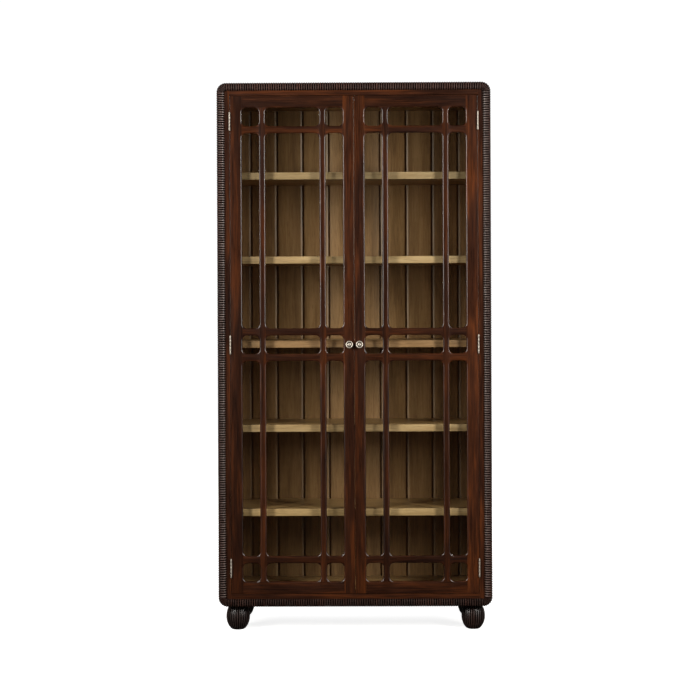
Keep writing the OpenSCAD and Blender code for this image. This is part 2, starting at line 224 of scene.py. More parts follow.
def boolean(target, cutter, operation):
    """Applies a boolean of two objects to the first one."""
    modifier = target.modifiers.new("boolean", "BOOLEAN")
    modifier.object = cutter
    modifier.operation = operation
    modifier.solver = "EXACT"
    depsgraph = bpy.context.evaluated_depsgraph_get()
    depsgraph.update()
    mesh = bpy.data.meshes.new_from_object(target.evaluated_get(depsgraph))
    target.modifiers.clear()
    target.data = mesh


def discard(piece):
    bpy.data.objects.remove(piece, do_unlink=True)


def flip_copy(piece, name):
    """A copy of a left-hand piece for the right-hand side."""
    mesh = piece.data.copy()
    mesh.name = name
    for vertex in mesh.vertices:
        vertex.co.x = -vertex.co.x
    mesh.flip_normals()
    copy = bpy.data.objects.new(name, mesh)
    bpy.context.scene.collection.objects.link(copy)
    return copy


def add_attribute(piece, name, values):
    """A number on each vertex, for the materials to read."""
    piece.data.attributes.new(name, "FLOAT", "POINT").data.foreach_set("value", values)


def dress(piece, body, slot, *nodes, materials=()):
    """Gives a piece its materials and its body, and hides the CAD nodes it stands for; slot is not
    used.
    """
    for material in materials:
        piece.data.materials.append(material)
    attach(piece, body)
    if nodes:
        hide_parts(*nodes)
    return piece


def paint_faces(piece, index, wanted):
    """Uses the material with this index on the faces that wanted() picks."""
    for face in piece.data.polygons:
        if wanted(face.center, face.normal):
            face.material_index = index


# ---- Materials --------


class Shader:
    """A node material that is built up one node at a time."""

    def __init__(self, name):
        self.material = bpy.data.materials.new(name)
        self.material.use_nodes = True
        self.tree = self.material.node_tree
        self.principled = self.tree.nodes["Principled BSDF"]

    def node(self, kind, inputs=None, **settings):
        made = self.tree.nodes.new("ShaderNode" + kind)
        for key, value in settings.items():
            setattr(made, key, value)
        for key, value in (inputs or {}).items():
            self.feed(made.inputs[key], value)
        return made

    def feed(self, socket, value):
        if isinstance(value, bpy.types.NodeSocket):
            self.tree.links.new(value, socket)
        else:
            socket.default_value = value

    def maths(self, operation, a, b=0.0, clamp=False):
        made = self.node("Math", {0: a, 1: b}, operation=operation, use_clamp=clamp)
        return made.outputs[0]

    def noise(self, vector, scale, detail=2.0, roughness=0.5, distortion=0.0):
        inputs = {"Vector": vector, "Scale": scale, "Detail": detail,
                  "Roughness": roughness, "Distortion": distortion}
        return self.node("TexNoise", inputs).outputs["Fac"]

    def ramp(self, value, stops):
        """A colour ramp; each stop is (position, colour)."""
        made = self.node("ValToRGB", {"Fac": value})
        elements = made.color_ramp.elements
        while len(elements) < len(stops):
            elements.new(0.5)
        for element, (position, colour) in zip(elements, stops):
            element.position = position
            element.color = (*colour, 1.0)
        return made.outputs["Color"]

    def span(self, value, from_low, from_high, to_low, to_high):
        inputs = {"Value": value, "From Min": from_low, "From Max": from_high,
                  "To Min": to_low, "To Max": to_high}
        return self.node("MapRange", inputs).outputs["Result"]

    def mix_colour(self, factor, a, b, blend="MIX"):
        made = self.node("Mix", data_type="RGBA", blend_type=blend)
        self.feed(made.inputs["Factor"], factor)
        colours = [s for s in made.inputs if s.type == "RGBA"]
        self.feed(colours[0], a)
        self.feed(colours[1], b)
        return [s for s in made.outputs if s.type == "RGBA"][0]

    def bump(self, height, strength, distance):
        made = self.node("Bump", {"Height": height, "Strength": strength, "Distance": distance})
        self.feed(self.principled.inputs["Normal"], made.outputs["Normal"])

    def set(self, **values):
        names = {
            "colour": "Base Color",
            "metallic": "Metallic",
            "roughness": "Roughness",
            "coat": "Coat Weight",
            "coat_roughness": "Coat Roughness",
            "specular": "Specular IOR Level",
        }
        for key, value in values.items():
            self.feed(self.principled.inputs[names[key]], value)


def toned(colour, factor):
    """A colour made darker or lighter."""
    return tuple(c * factor for c in colour)


def tinted(colour, tint):
    """A colour with its red, green and blue each multiplied by a number."""
    return tuple(c * t for c, t in zip(colour, tint))


# How far each layer of the grain is drawn out along its axis
FIBRE_STRETCH = 0.05
FIGURE_STRETCH = 0.14
STREAK_STRETCH = 0.07
PORE_STRETCH = 0.03


def shifted_place(s, chance):
    """Object coordinates moved by a chance amount, so that no two pieces have the same grain."""
    place = s.node("TexCoord").outputs["Object"]
    shift = s.node("CombineXYZ", {"X": chance, "Y": s.maths("MULTIPLY", chance, 3.7)})
    shift = s.node("VectorMath", {0: shift.outputs[0], "Scale": 5.3}, operation="SCALE")
    added = s.node("VectorMath", {0: place, 1: shift.outputs[0]}, operation="ADD")
    return added.outputs[0]


def add_relief(s, place, tones, colour, rough):
    """Painted shade low on the ribs, where they are also rougher, and a painted pale highlight on
    their crests, most where the piece has polish.
    """
    height = s.node("Attribute", attribute_name="relief").outputs["Fac"]
    polish_and_highlight = s.node("Attribute", attribute_name="polish_and_highlight").outputs["Fac"]
    # Painted shade: the lower part of each rib is darkened towards near-black.
    low_rib_shade = s.span(height, 0.3, 0.95, 0.9, 0.0)
    colour = s.mix_colour(low_rib_shade, colour, (*toned(tones[0], 0.2), 1.0))
    # Painted highlight: the crests are paled, flecked by noise and most where polished.
    painted_crest_highlight = s.maths("MULTIPLY", s.span(height, 0.95, 0.99, 0.0, CREST_HIGHLIGHT_SHARE),
                   s.span(s.noise(place, 55.0, 3.0), 0.35, 0.6, 0.3, 1.0), clamp=True)
    painted_crest_highlight = s.maths("MULTIPLY", painted_crest_highlight, s.span(polish_and_highlight, 0.0, 1.0, 0.15, 1.0))
    colour = s.mix_colour(painted_crest_highlight, colour, (*CREST_HIGHLIGHT_COLOUR, 1.0))
    rough = s.maths("ADD", rough, s.maths("MULTIPLY", low_rib_shade, 0.7), clamp=True)
    rough = s.maths("ADD", rough, s.span(polish_and_highlight, 0.0, 1.0, 0.3, 0.0), clamp=True)
    return colour, rough


def wood(name, axis, tones, gloss=0.3, coat=0.15, specular=0.36, relief=False, figure_scale=16.0):
    """Wood with its grain along one axis; tones are dark, middle and light, gloss is its
    roughness, and relief adds the ribbed pieces' painted shade and painted highlight."""
    s = Shader(name)
    chance = s.node("ObjectInfo").outputs["Random"]
    place = shifted_place(s, chance)

    def stretched(along):
        scales = [along if a == axis else 1 for a in "xyz"]
        return s.node("Mapping", {"Vector": place, "Scale": scales}).outputs[0]

    fibre = s.noise(stretched(FIBRE_STRETCH), 210.0, 5.0, 0.62)
    figure = s.noise(stretched(FIGURE_STRETCH), figure_scale, 3.0, 0.5, 0.7)
    streaks = s.noise(stretched(STREAK_STRETCH), 2.8 * figure_scale, 2.0, 0.55, 0.4)
    pores = s.noise(stretched(PORE_STRETCH), 900.0, 1.0, 0.4)
    cloud = s.noise(place, 3.0, 2.0, 0.5)

    level = s.maths("ADD", s.maths("MULTIPLY", fibre, 0.34), s.maths("MULTIPLY", figure, 0.33))
    level = s.maths("ADD", level, s.maths("MULTIPLY", streaks, 0.33))
    colour = s.ramp(level, [(0.38, tones[0]), (0.5, tones[1]), (0.62, tones[2])])
    pore_dark = s.span(pores, 0.60, 0.72, 0.0, 0.55)
    colour = s.mix_colour(pore_dark, colour, (*toned(tones[0], 0.3), 1.0))
    tone = s.maths("ADD", s.span(chance, 0, 1, -0.10, 0.10), s.span(cloud, 0.3, 0.7, 0.88, 1.1))
    grey = s.node("CombineColor", {"Red": tone, "Green": tone, "Blue": tone}).outputs[0]
    colour = s.mix_colour(1.0, colour, grey, "MULTIPLY")
    rough = s.maths("ADD", s.span(fibre, 0.3, 0.7, gloss - 0.04, gloss + 0.05),
                    s.span(cloud, 0.3, 0.7, -0.02, 0.03))
    if relief:
        colour, rough = add_relief(s, place, tones, colour, rough)
    s.set(colour=colour, roughness=rough, coat=coat, coat_roughness=0.16, specular=specular)
    bumps = s.maths("SUBTRACT", s.maths("MULTIPLY", fibre, 0.6), pore_dark)
    s.bump(bumps, 0.12, 0.0006)
    return s.material


def painted_groove_shade(name):
    """The matt bottom of a groove between two ribs, painted near-black as shade."""
    s = Shader(name)
    place = s.node("TexCoord").outputs["Object"]
    speckle = s.noise(place, 150.0, 3.0, 0.6)
    s.set(colour=s.ramp(speckle, [(0.35, (0.0018, 0.0010, 0.0008)), (0.7, (0.006, 0.0036, 0.0026))]),
          roughness=s.span(speckle, 0.3, 0.7, 0.85, 0.95), specular=0.05)
    s.bump(speckle, 0.2, 0.0005)
    return s.material


def satin_nickel(name, metallic=1.0, dull=0.0, pale=1.0):
    """Warm, slightly tarnished nickel with fine scratches; dull adds to its roughness and
    pale multiplies its colour."""
    s = Shader(name)
    place = s.node("TexCoord").outputs["Object"]
    fine = s.node("Mapping", {"Vector": place, "Scale": (1, 1, 0.15)}).outputs[0]
    scratches = s.noise(fine, 2600.0, 2.0, 0.6)
    spots = s.noise(place, 260.0, 3.0, 0.55)
    stops = [(0.3, (0.32, 0.28, 0.23)), (0.55, (0.50, 0.455, 0.39)), (0.8, (0.58, 0.54, 0.47))]
    colour = s.ramp(spots, [(at, toned(tone, pale)) for at, tone in stops])
    rough = s.maths("ADD", s.span(spots, 0.3, 0.7, 0.34 + dull, 0.22 + dull),
                    s.span(scratches, 0.3, 0.7, -0.04, 0.06))
    s.set(colour=colour, roughness=rough, metallic=metallic)
    s.bump(scratches, 0.06, 0.0002)
    return s.material


# The part of the light that the glass mirrors when it is seen straight on
GLASS_MIRROR = 0.012


def clear_glass(name):
    """Window glass: it lets light straight through and mirrors a little more at a slant."""
    s = Shader(name)
    place = s.node("TexCoord").outputs["Object"]
    smears = s.noise(place, 9.0, 3.0, 0.6)
    tint = s.ramp(smears, [(0.3, (0.955, 0.975, 0.965)), (0.7, (0.985, 0.995, 0.99))])
    clear = s.node("BsdfTransparent", {"Color": tint})
    rough = s.span(smears, 0.4, 0.7, 0.01, 0.05)
    shine = s.node("BsdfGlossy", {"Color": (1, 1, 1, 1), "Roughness": rough})
    slant = s.maths("POWER", s.node("LayerWeight", {"Blend": 0.5}).outputs["Facing"], 5.0)
    both = s.node("MixShader", {0: s.span(slant, 0.0, 1.0, GLASS_MIRROR, 1.0)})
    s.tree.links.new(clear.outputs[0], both.inputs[1])
    s.tree.links.new(shine.outputs[0], both.inputs[2])
    s.tree.nodes.remove(s.principled)
    s.tree.links.new(both.outputs[0], s.tree.nodes["Material Output"].inputs["Surface"])
    return s.material


# Each wood's dark, middle and light tones
MAHOGANY = ((0.0115, 0.0034, 0.0016), (0.0315, 0.0086, 0.0026), (0.083, 0.0210, 0.0044))
REEDED = ((0.014, 0.0044, 0.0030), (0.032, 0.0090, 0.0050), (0.062, 0.0170, 0.0085))
# The feet's tones are darker than the mahogany's; the bottom moulding takes them too, as painted
# shade.
FOOT = ((0.009, 0.0028, 0.0018), (0.022, 0.0062, 0.0034), (0.046, 0.0125, 0.0060))
BOARDS = ((0.17, 0.088, 0.033), (0.28, 0.150, 0.058), (0.39, 0.220, 0.092))
SHELF = ((0.22, 0.120, 0.044), (0.34, 0.195, 0.074), (0.44, 0.268, 0.110))
# How much darker or lighter two of the stiles are than the rest of the mahogany
BROWN = 0.82
RED = 1.42
# The painted highlight on the ribs' crests: its colour, and how much of it covers the wood
CREST_HIGHLIGHT_COLOUR = (0.295, 0.232, 0.208)
CREST_HIGHLIGHT_SHARE = 0.75
# The shelves' front lippings
LIPPING = ((0.33, 0.215, 0.092), (0.45, 0.300, 0.138), (0.55, 0.390, 0.195))
# How each shelf's lipping differs in colour, from the bottom shelf up; the middle shelf's darker
# tint is painted shade
LIPPING_TINTS_AND_SHADE = (
    (1.04, 1.0, 0.97), (1.04, 1.0, 1.0), (0.84, 0.70, 0.68), (1.0, 0.97, 1.0), (0.80, 0.80, 0.85))

mahogany_upright = wood("mahogany_upright_grain", "z", MAHOGANY)
mahogany_brown = wood("mahogany_brown_board", "z", [toned(tone, BROWN) for tone in MAHOGANY])
mahogany_red = wood("mahogany_red_board", "z", [toned(tone, RED) for tone in MAHOGANY])
mahogany_level = wood("mahogany_level_grain", "x", MAHOGANY)
mahogany_end = wood("mahogany_end_panel", "x", MAHOGANY, gloss=0.6, coat=0.0, specular=0.005)
mahogany_panel = wood("mahogany_panel_grain", "z", MAHOGANY, figure_scale=9.0)
reeded_wood = wood(
    "reeded_mahogany", "z", REEDED, gloss=0.3, coat=0.0, specular=0.6, relief=True)
outer_wood = wood(
    "reeded_mahogany_outside", "z", REEDED, gloss=0.36, coat=0.0, specular=0.3, relief=True)
# Painted shade: the bottom run's ribs take the feet's darker tones, so they are darker than the
# other runs.
shaded_bottom_wood = wood(
    "reeded_mahogany_below_shaded", "z", FOOT, gloss=0.36, coat=0.0, specular=0.1, relief=True)
foot_wood = wood(
    "turned_mahogany", "z", FOOT, gloss=0.04, coat=0.0, specular=1.0, relief=True)
# Painted shade for the bottoms of the ribs' and reeds' grooves.
groove_shade_material = painted_groove_shade("mahogany_groove_painted_shade")
board_wood = wood(
    "golden_board", "z", BOARDS, gloss=0.44, coat=0.0, specular=0.45, figure_scale=10.0)
shelf_wood = wood("golden_shelf", "x", SHELF, gloss=0.42, coat=0.1, figure_scale=10.0)
lipping_woods = [
    wood(f"golden_lipping_{i}", "x", [tinted(tone, tint) for tone in LIPPING], gloss=0.42, coat=0.1)
    for i, tint in enumerate(LIPPING_TINTS_AND_SHADE, 1)
]
nickel = satin_nickel("satin_nickel")
hinge_nickel = satin_nickel("dull_hinge_nickel", 0.55, 0.16)
knob_nickel = satin_nickel("pale_knob_nickel", 0.6, 0.08, 1.4)
# Painted reflection: the knobs' dishes in a much darker nickel, for the dark ring they mirror.
dish_painted_reflection = satin_nickel("dish_dark_reflection_nickel", 0.6, 0.12, 0.22)
glass = clear_glass("window_glass")


# ---- Reeded moulding --------

RIBS_PER_SIDE = 215
RIBS_PER_LEVEL = 109
RIBS_PER_CORNER = 6
RIB_DEPTH = 3.6 * MM
# How much shallower the grooves are at the outside of the moulding
OUTER_FADE = 0.6
# One rib between the middles of two grooves, as (part of the pitch, height 0 to 1)
RIB_SHAPE = [
    (0.0, 0.0), (0.17, 0.0), (0.235, 0.7), (0.29, 0.94), (0.36, 0.985),
    (0.5, 1.0), (0.64, 0.985), (0.71, 0.94), (0.765, 0.7), (0.83, 0.0),
]
# The steps of a rib whose faces lie in the groove
GROOVE_STEPS = (0, 1, 8, 9)
SECTION_STEPS = 24
# The points of the moulding's section: the steps' ends and one at the back of each side
SECTION_POINTS = SECTION_STEPS + 3
# How flat the moulding's front is: 2 is a true half-round
CROWN = 2.9
BEAD_IN = MOULDING_HIGH.y - BEAD_Y


def paint_grooves(piece, faces_per_step, outer_from=None):
    """Uses the second material, a painted shade, in the grooves between ribs, and the third one
    on the ribs from a place in the section on."""
    for face in piece.data.polygons:
        step = face.index // faces_per_step % len(RIB_SHAPE)
        outer = outer_from is not None and face.index % faces_per_step >= outer_from
        if step in GROOVE_STEPS:
            face.material_index = 1
        else:
            face.material_index = 2 if outer else 0


def moulding_stations(stretches):
    """Places along a run of ribs, as (straight distance, turned angle, rib height 0 to 1)."""
    stations = []
    along, turned = 0.0, 0.0
    for length, angle, ribs in stretches:
        for rib in range(ribs):
            for place, height in RIB_SHAPE:
                part = (rib + place) / ribs
                stations.append((along + length * part, turned + angle * part, height))
        along += length
        turned += angle
    stations.append((along, turned, 0.0))
    return stations


def moulding_section(height):
    """(across, depth) points of the moulding at a rib's height, from inside to outside."""
    cut = RIB_DEPTH * (1 - height)
    points = [(cut - BEAD_R, BEAD_IN)]
    for i in range(SECTION_STEPS + 1):
        slant = PI * (i / SECTION_STEPS - 0.5)
        steep = abs(math.tan(slant)) ** (1 / (CROWN - 1))
        radius = BEAD_R - cut * (1 - OUTER_FADE * max(0.0, math.sin(slant)))
        size = radius / (1 + steep ** CROWN) ** (1 / CROWN)
        points.append((math.copysign(steep * size, slant), -size))
    points.append((BEAD_R - cut * (1 - OUTER_FADE), BEAD_IN))
    return points


def moulding_place(stretches, start, heading, along, turned):
    """Where a station is, as (x, z, the way it runs), along the straights and corners."""
    x, z = start
    way = heading
    for length, angle, _ in stretches:
        if angle:
            part = min(turned, angle)
            radius = CORNER_R - BEAD_R
            centre_x = x + radius * math.cos(way - PI / 2)
            centre_z = z + radius * math.sin(way - PI / 2)
            x = centre_x + radius * math.cos(way + PI / 2 - part)
            z = centre_z + radius * math.sin(way + PI / 2 - part)
            way -= part
            turned -= part
            if part < angle:
                break
        else:
            part = min(along, length)
            x += part * math.cos(way)
            z += part * math.sin(way)
            along -= part
            if part < length:
                break
    return x, z, way


def moulding_run(name, stretches, start, heading, inner_highlight_and_gloss):
    """Ribbed moulding swept from start.  Heading is the way it runs in the X-Z plane, and
    the last argument, 0 to 1, is how much polish and painted pale highlight the ribs' crests get
    towards the inside."""
    heading = math.radians(heading)
    loops, heights, polish_and_highlight = [], [], []
    for along, turned, height in moulding_stations(stretches):
        x, z, way = moulding_place(stretches, start, heading, along, turned)
        out_x, out_z = math.cos(way + PI / 2), math.sin(way + PI / 2)
        loop = []
        for across, depth in moulding_section(height):
            loop.append((x + across * out_x, BEAD_Y + depth, z + across * out_z))
            # Polish and a painted pale highlight, most on the inside of the section.
            polish_and_highlight.append(inner_highlight_and_gloss * min(1.0, max(0.0, 0.45 - 3.0 * across / BEAD_R)))
        loops.append(loop)
        heights += [height] * len(loop)
    piece = new_object(name, *loft(loops), 40)
    add_attribute(piece, "relief", heights)
    add_attribute(piece, "polish_and_highlight", polish_and_highlight)
    return piece


def make_mouldings():
    """The side runs are straight; the top and bottom runs take in the round corners."""
    mid = HALF_W - BEAD_R
    side = MOULDING_HIGH.z - MOULDING_LOW.z
    level = 2 * (HALF_W - CORNER_R)
    corner = (0.0, PI / 2, RIBS_PER_CORNER)
    upright = [(side, 0.0, RIBS_PER_SIDE)]
    across = [corner, (level, 0.0, RIBS_PER_LEVEL), corner]
    low, high = MOULDING_LOW.z, MOULDING_HIGH.z
    # Name, stretches, start, heading, share of polish and painted highlight, inner ribs and outer
    # ribs
    runs = [
        ("left", upright, (-mid, low), 90, 1.0, reeded_wood, outer_wood),
        ("right", upright, (mid, high), -90, 1.0, reeded_wood, outer_wood),
        ("top", across, (-mid, high), 90, 0.15, outer_wood, outer_wood),
        ("bottom", across, (mid, low), -90, 0.0, shaded_bottom_wood, shaded_bottom_wood),
    ]
    for place, stretches, start, heading, inner_highlight_and_gloss, inner, outer in runs:
        piece = moulding_run("ribbed_moulding_" + place, stretches, start, heading, inner_highlight_and_gloss)
        dress(piece, "cabinet", "mahogany", "reeded_moulding_" + place,
              materials=[inner, groove_shade_material, outer])
        paint_grooves(piece, SECTION_POINTS, SECTION_STEPS // 2 + 2)


make_mouldings()


# ---- Face frame and carcass --------

FRAME_EASE = 0.6 * MM
PANEL_EASE = 1.2 * MM
HOLLOW_R = 12 * MM


def rounding_loops(low_x, high_x, low_z, high_z, ease, front, back, grow):
    """Loops of a prism whose front edge widens (grow 1) or narrows (grow -1) in a quarter
    round.  A grow of 1 makes a cutter that rounds over the edge of a hole."""
    loops = []
    steps = 6
    if grow > 0:
        loops.append((front - ease, ease))
    for i in range(steps + 1):
        t = PI / 2 * i / steps
        reach = ease * (1 - math.sin(t))
        loops.append((front + ease * (1 - math.cos(t)), reach * grow))
    loops.append((back, 0.0))
    made = []
    for y, out in loops:
        points = round_rect(low_x - out, high_x + out, low_z - out, high_z + out,
                            max(out, 0.05 * MM), 2)
        made.append([(x, y, z) for x, z in points])
    return made


def bevel_loops(low_x, high_x, low_z, high_z, front, back, radius):
    """Loops of a cutter for an opening with a bevelled edge; radius is that of its corners."""
    made = []
    for depth, out in [*BEVEL_PROFILE, (back - front, 0.0)]:
        points = round_rect(low_x - out, high_x + out, low_z - out, high_z + out, radius + out, 10)
        made.append([(x, front + depth, z) for x, z in points])
    return made


def body_outline(inset):
    """The whole front's outline, moved inwards by inset."""
    return round_rect(-HALF_W + inset, HALF_W - inset, BOTTOM + inset, TOP - inset,
                      CORNER_R - inset, 12)


def prism(outline, front, back):
    return loft([[(x, y, z) for x, z in outline] for y in (front, back)])


def make_face_frame():
    """Four pieces cut from one frame: square to the doors, rounded over at their edge."""
    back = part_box("face_frame_top_rail")[1].y
    hole = new_object("hole", *loft(rounding_loops(
        -OPENING_X, OPENING_X, OPENING_LOW, OPENING_HIGH, FRAME_EASE,
        FACE_Y, back + 5 * MM, 1)))
    wide = new_object("wide", *prism(body_outline(2 * MM), FACE_Y + 5 * MM, back))
    front = new_object("front", *prism(
        body_outline(2 * BEAD_R + 0.2 * MM), FACE_Y, FACE_Y + 6 * MM))
    boolean(wide, front, "UNION")
    discard(front)
    pieces = {
        "left_stile": ((-HALF_W, -OPENING_X - HAIR), (BOTTOM, TOP), mahogany_upright),
        "right_stile": ((OPENING_X + HAIR, HALF_W), (BOTTOM, TOP), mahogany_red),
        "top_rail": ((-OPENING_X, OPENING_X), (OPENING_HIGH - 5 * MM, TOP), mahogany_level),
        "bottom_rail": ((-OPENING_X, OPENING_X), (BOTTOM, OPENING_LOW + 5 * MM), mahogany_level),
    }
    for name, ((x0, x1), (z0, z1), material) in pieces.items():
        piece = new_object("frame_" + name, *box_shape(
            (x0, FACE_Y - 10 * MM, z0), (x1, back + 10 * MM, z1)))
        boolean(piece, wide, "INTERSECT")
        boolean(piece, hole, "DIFFERENCE")
        shade(piece.data, 32)
        dress(piece, "cabinet", "mahogany", "face_frame_" + name, materials=[material])
    discard(hole)
    discard(wide)


def make_side(side):
    low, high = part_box(side + "_side_panel")
    piece = new_object(side + "_side", *eased_box(low, high, PANEL_EASE))
    dress(piece, "cabinet", "mahogany", side + "_side_panel",
          materials=[mahogany_panel, board_wood])
    inward = 1 if side == "left" else -1
    paint_faces(piece, 1, lambda place, normal: normal.x * inward > 0.9)


def make_end(end):
    """The top or bottom panel with its round corners, hollowed for the back boards."""
    low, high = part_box(end + "_panel")
    board_low, board_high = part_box("back_board_1")
    inner_x = -board_low.x
    panel = new_object(end + "_end", *prism(body_outline(2 * MM), low.y, high.y))
    inside = new_object("inside", *prism(
        round_rect(-inner_x, inner_x, board_low.z, board_high.z, HOLLOW_R),
        low.y - MM, high.y + MM))
    keep = new_object("keep", *box_shape(
        (-HALF_W, low.y - 5 * MM, low.z - MM if end == "bottom" else low.z + HAIR),
        (HALF_W, high.y + 5 * MM, high.z + MM if end == "top" else high.z - HAIR)))
    boolean(panel, inside, "DIFFERENCE")
    boolean(panel, keep, "INTERSECT")
    discard(inside)
    discard(keep)
    shade(panel.data, 32)
    dress(panel, "cabinet", "mahogany", end + "_panel", materials=[mahogany_end])


make_face_frame()
make_side("left")
make_side("right")
make_end("top")
make_end("bottom")


# ---- Inside --------

# The boards' edges, as (distance from the joint, depth behind the face)
BOARD_BEVEL = [(x * MM, y * MM) for x, y in (
    (0.1, 11.5), (2.2, 11.5), (2.2, 3.4), (2.6, 2.9), (8.0, 0.3), (8.8, 0.05), (9.6, 0.0))]
BOARD_SHOULDER = [(x * MM, y * MM) for x, y in (
    (0.1, 11.5), (5.2, 11.5), (5.4, 1.2), (5.9, 0.35), (6.9, 0.0))]
# The chamfers on the boards' outside
BACK_EASE = 2.0 * MM


def make_back():
    """Boards with a bevel along the edge nearer the middle and a square shoulder outside."""
    for i in range(1, 11):
        node = f"back_board_{i}"
        low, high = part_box(node)
        inward = 1 if i <= 5 else -1
        x_in, x_out = (high.x, low.x) if inward > 0 else (low.x, high.x)
        outline = [(x_out, high.y - BACK_EASE), (x_out + inward * BACK_EASE, high.y),
                   (x_in - inward * BACK_EASE, high.y), (x_in, high.y - BACK_EASE)]
        outline += [(x_in - inward * x, low.y + y) for x, y in BOARD_BEVEL]
        if i in (1, 10):
            outline.append((x_out, low.y))
        else:
            outline += [(x_out + inward * x, low.y + y) for x, y in reversed(BOARD_SHOULDER)]
        loops = [[(x, y, z) for x, y in outline] for z in (low.z, high.z)]
        piece = new_object(f"back_board_look_{i}", *loft(loops), 20)
        dress(piece, "cabinet", "golden_wood", node, materials=[board_wood])


def make_shelves():
    """Shelves with a lipping along the front."""
    lip = 12 * MM
    for i in range(1, 6):
        node = f"shelf_{i}"
        low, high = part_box(node)
        board = new_object(f"shelf_board_{i}", *eased_box(
            (low.x, low.y + lip, low.z + 0.1 * MM), (high.x, high.y, high.z), 0.5 * MM, 1))
        dress(board, "cabinet", "golden_wood", node, materials=[shelf_wood])
        lipping = new_object(f"shelf_lipping_{i}", *eased_box(
            (low.x, low.y, low.z), (high.x, low.y + lip, high.z), 1.6 * MM, 4))
        dress(lipping, "cabinet", "golden_wood", materials=[lipping_woods[i - 1]])


def make_decks():
    for node in ("ceiling_panel", "floor_panel"):
        low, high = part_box(node)
        piece = new_object(node + "_look", *eased_box(low, high, 0.8 * MM, 2))
        dress(piece, "cabinet", "golden_wood", node, materials=[shelf_wood])


def make_shelf_pins():
    """Pins with a collar against the panel and a domed end."""
    low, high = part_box("shelf_support_pins")
    radius = 2.5 * MM
    profile = [(0.9 * radius, 0), (radius, 0.6 * MM), (radius, 9.9 * MM),
               (1.7 * radius, 10.0 * MM), (1.7 * radius, 11.2 * MM), (radius, 11.4 * MM),
               (radius, 16.6 * MM), (0.8 * radius, 17.6 * MM), (0.3 * radius, 18 * MM)]
    shapes = []
    turn = Quaternion((0, 1, 0), PI / 2)
    for i in range(1, 6):
        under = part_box(f"shelf_{i}")[0].z - radius
        for y in (low.y + radius, high.y - radius):
            pin = moved(lathe(profile, 20), (low.x, y, under), turn)
            shapes += [pin, mirrored(pin)]
    piece = new_object("shelf_pins_look", *merge(*shapes), 30)
    dress(piece, "cabinet", "nickel", "shelf_support_pins", materials=[nickel])


make_back()
make_shelves()
make_decks()
make_shelf_pins()


# ---- Feet --------

REEDS = 30
REED_DEPTH = 3.0 * MM
# The belly's height and the two quarter ellipses' half heights, as parts of the foot's height
FOOT_BELLY = 0.52
FOOT_UPPER = 0.68
FOOT_LOWER = 0.613


def foot_profile(height, radius):
    """(radius, height) of the foot's outline: two quarter ellipses that meet at the belly."""
    belly = FOOT_BELLY * height
    upper, lower = FOOT_UPPER * height, FOOT_LOWER * height
    points = []
    for i in range(15):
        a = -math.asin(belly / lower) * (1 - i / 14)
        points.append((radius * math.cos(a), belly + lower * math.sin(a)))
    top = math.asin((height + 2 * MM - belly) / upper)
    for i in range(1, 15):
        a = top * i / 14
        points.append((radius * math.cos(a), belly + upper * math.sin(a)))
    return points


def make_foot(place):
    """A turned foot whose reeds run from its flat bottom up into the bottom panel."""
    low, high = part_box("foot_" + place)
    radius = (high.x - low.x) / 2
    centre_x, centre_y = (low.x + high.x) / 2, (low.y + high.y) / 2
    loops, heights = [], []
    profile = foot_profile(BOTTOM, radius)
    base = profile[0][0]
    profile = [(base - 2 * MM, 0.0), (base, 1.5 * MM), *profile[1:]]
    for ring, (r, z) in enumerate(profile):
        loop = []
        fade = 0.0 if ring < 1 else min(1.0, z / (8 * MM) + 0.25)
        for reed in range(REEDS):
            for part, height in RIB_SHAPE:
                a = 2 * PI * (reed + part) / REEDS
                cut = REED_DEPTH * (1 - height) * fade * r / radius
                loop.append((centre_x + (r - cut) * math.cos(a),
                             centre_y + (r - cut) * math.sin(a), z))
                heights.append(1 - (1 - height) * fade)
        loops.append(loop)
    piece = new_object("reeded_foot_" + place, *loft(loops), 40)
    add_attribute(piece, "relief", heights)
    # The feet's ribs get no polish, and only a faint painted highlight
    add_attribute(piece, "polish_and_highlight", [0.0] * len(heights))
    dress(piece, "cabinet", "mahogany", "foot_" + place, materials=[foot_wood, groove_shade_material])
    # Painted shade in the reeds' grooves.
    paint_grooves(piece, 1)


for foot in ("front_left", "front_right", "back_left", "back_right"):
    make_foot(foot)


# ---- Doors --------


def opening_cutter():
    """The fifteen glazed openings of the left door, with their bevelled edges."""
    shapes = []
    for distance, width in COLUMNS:
        for low, height in ROWS:
            shapes.append(loft(bevel_loops(
                -distance - width, -distance, low, low + height,
                FACE_Y, DOOR_BACK + 2 * MM, OPENING_R)))
    return new_object("openings", *merge(*shapes))


def door_slab():
    """The left door's outside, with its front edges rounded over."""
    low, high = STILE_LOW, MEETING_HIGH
    return new_object("slab", *loft(rounding_loops(
        low.x, high.x, low.z, high.z, DOOR_EASE, FACE_Y, DOOR_BACK, -1)))


def rail_shape(low, high, up):
    """The boxes of a rail with a shoulder at each opening, which the cutter turns into round
    corners; up is true if the openings are above it."""
    flare = OPENING_R + BEVEL + MM
    x0, x1 = -GLAZED_OUT + HAIR, -MEETING_W - HAIR
    shapes = [box_shape((x0, FACE_Y, low), (x1, DOOR_BACK, high))]
    for distance, width in COLUMNS:
        left = max(-distance - width + HAIR, x0)
        right = min(-distance - HAIR, x1)
        z0, z1 = (low, high + flare) if up else (low - flare, high)
        shapes.append(box_shape((left, FACE_Y, z0), (right, GLASS_Y, z1)))
    return shapes


def union_object(name, shapes):
    """One solid made of shapes that overlap."""
    base = new_object(name, *shapes[0])
    for shape in shapes[1:]:
        other = new_object("part", *shape)
        boolean(base, other, "UNION")
        discard(other)
    return base


def upright_bar_shapes():
    shapes = []
    for distance, width in COLUMNS[:2]:
        x = -distance - width
        shapes.append(box_shape((x - UPRIGHT_W, FACE_Y, BARS_LOW.z + HAIR),
                                (x, GLASS_Y, BARS_HIGH.z - HAIR)))
    return shapes


